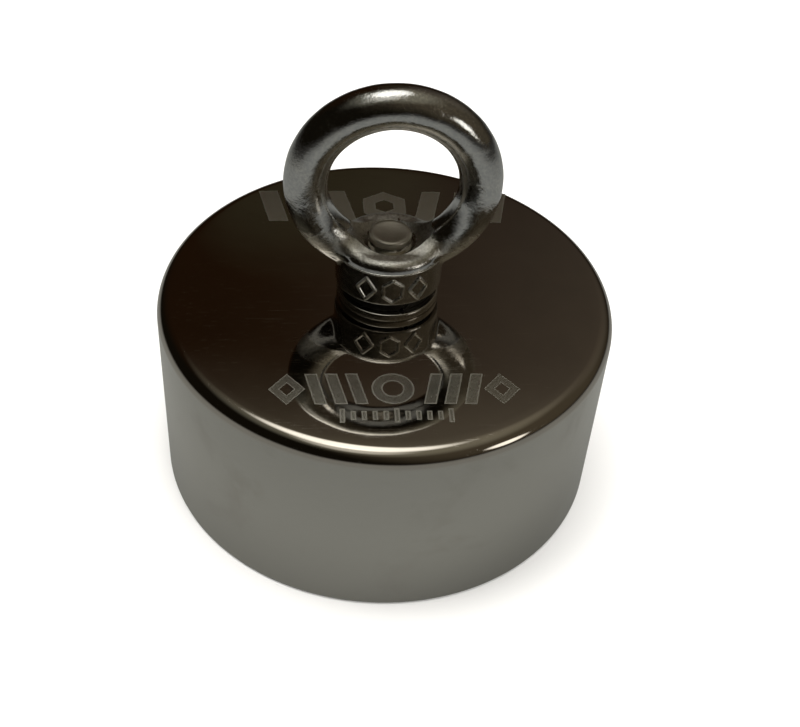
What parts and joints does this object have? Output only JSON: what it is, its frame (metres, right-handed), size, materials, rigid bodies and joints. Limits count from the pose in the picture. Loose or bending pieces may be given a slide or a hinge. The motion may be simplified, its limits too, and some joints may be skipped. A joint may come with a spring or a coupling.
{
  "type": "magnet fishing magnet",
  "caption": "Single-sided steel pot magnet with stacked ring magnets, a through bolt and a screwed-on lifting eye for a rope.",
  "frame": {"origin": "centre of the pulling face, in the plane of the pot's rim", "axes": "+Z along the pull axis towards the eye; +X in the plane of the eye's ring; +Y through the eye's hole"},
  "size_m": [0.09, 0.09, 0.0876],
  "materials": {
    "pot_steel": "polished",
    "magnet_nickel": "satin",
    "black_epoxy": "gloss",
    "white_nylon": "matte",
    "zinc_steel": "satin",
    "brass": "satin",
    "bolt_steel": "satin",
    "washer_steel": "satin",
    "eye_stainless": "polished"
  },
  "bodies": {
    "magnet": {"pot": "pot_steel", "magnet_ring_lower": "magnet_nickel", "magnet_ring_middle": "magnet_nickel", "magnet_ring_upper": "magnet_nickel", "epoxy_ring": "black_epoxy", "centring_ring": "white_nylon", "countersunk_washer": "zinc_steel", "spacer_bush": "brass", "countersunk_bolt": "bolt_steel", "flat_washer": "washer_steel"},
    "lock_washer": {"spring_washer": "washer_steel"},
    "eye": {"eye_nut": "eye_stainless"}
  },
  "joints": [
    {"name": "lock_washer_turn", "type": "hinge", "parent": "magnet", "child": "lock_washer", "pos_m": [0, 0, 0.0445], "axis": [0, 0, 1], "range_deg": [0, 2610]},
    {"name": "eye_nut_lift", "type": "slide", "parent": "lock_washer", "child": "eye", "axis": [0, 0, 1], "range_m": [0, 0.0109]}
  ],
  "couplings": [
    {"joint": "eye_nut_lift", "follows": "lock_washer_turn", "m_per_rad": 0.00023873}
  ]
}
